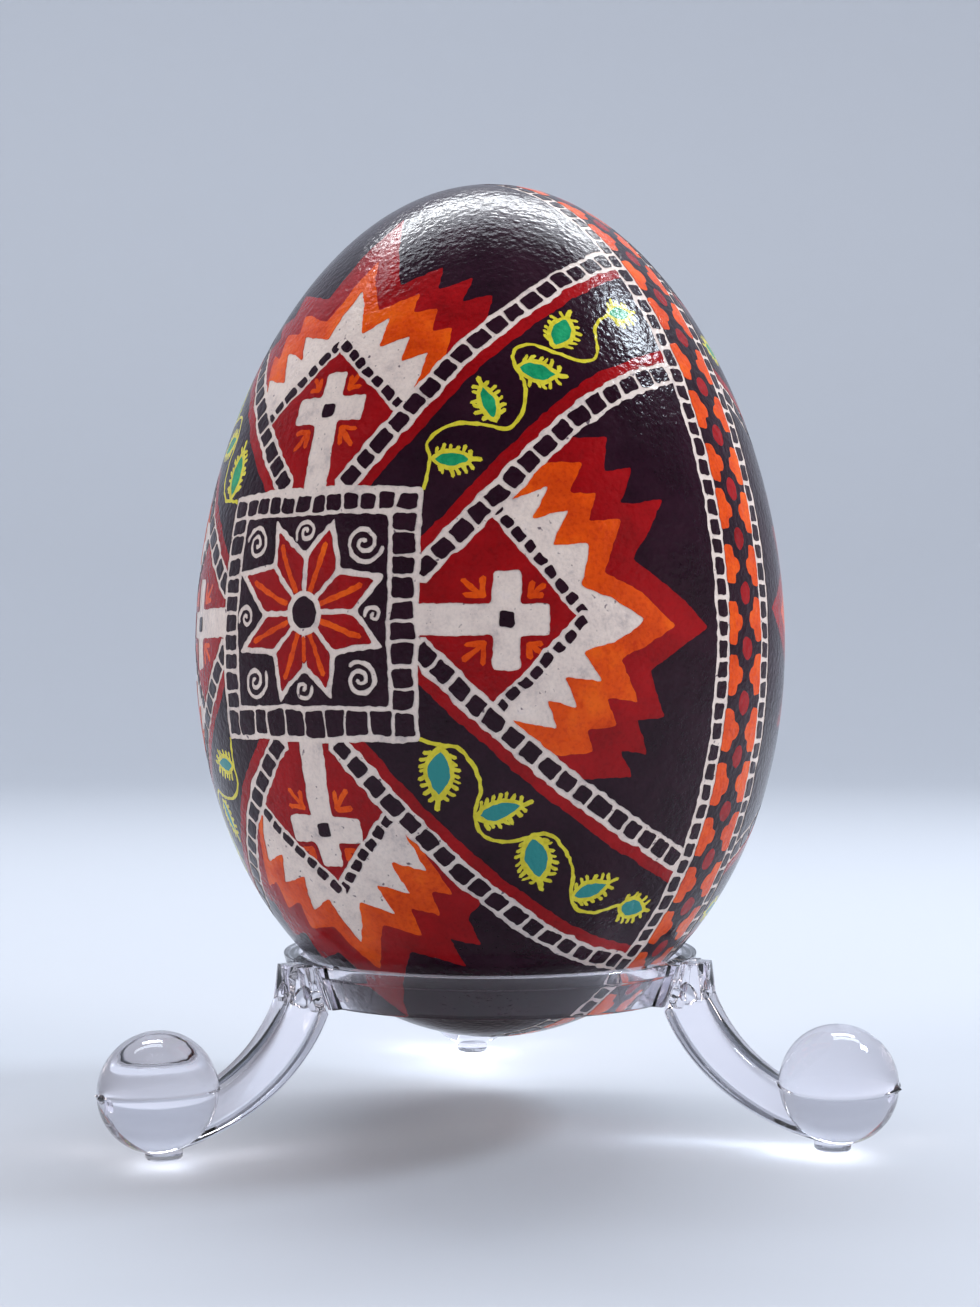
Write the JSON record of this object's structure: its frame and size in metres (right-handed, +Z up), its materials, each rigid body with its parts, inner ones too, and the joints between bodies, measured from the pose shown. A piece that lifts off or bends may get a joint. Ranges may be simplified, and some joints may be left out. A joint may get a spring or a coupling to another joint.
{
  "type": "decorated egg on stand",
  "caption": "Hollow wax-resist dyed egg with a cross, star and vine pattern, standing in a clear plastic ring on curved legs with ball feet; it lifts out and turns.",
  "frame": {"origin": "middle of the object's bounding box, on the surface that the feet stand on", "axes": "+Z up along the long axis of the egg, +Y towards the back leg, +X to the right of the front legs"},
  "size_m": [0.0754, 0.0726, 0.0953],
  "materials": {
    "black_ground": "eggshell dyed aubergine black under a gloss varnish",
    "red_dye": "eggshell dyed red under a gloss varnish",
    "orange_dye": "eggshell dyed orange under a gloss varnish",
    "white_shell": "bare off-white eggshell under a gloss varnish",
    "yellow_dye": "eggshell dyed yellow under a gloss varnish",
    "green_dye": "eggshell dyed green under a gloss varnish",
    "membrane": "dried matt membrane",
    "clear_plastic": "clear moulded plastic, polished"
  },
  "bodies": {
    "stand": {"stand_ring": "clear_plastic", "leg_front_left": "clear_plastic", "leg_front_right": "clear_plastic", "leg_back": "clear_plastic"},
    "membrane": {"shell_membrane": "membrane"},
    "egg": {"eggshell": "black_ground"}
  },
  "joints": [
    {"name": "egg_lift", "type": "slide", "parent": "stand", "child": "membrane", "axis": [0, 0, 1], "range_m": [0, 0.06]},
    {"name": "egg_turn", "type": "hinge", "parent": "membrane", "child": "egg", "pos_m": [0, -0.00632, 0.05175], "axis": [0, 0, 1], "continuous": true}
  ]
}
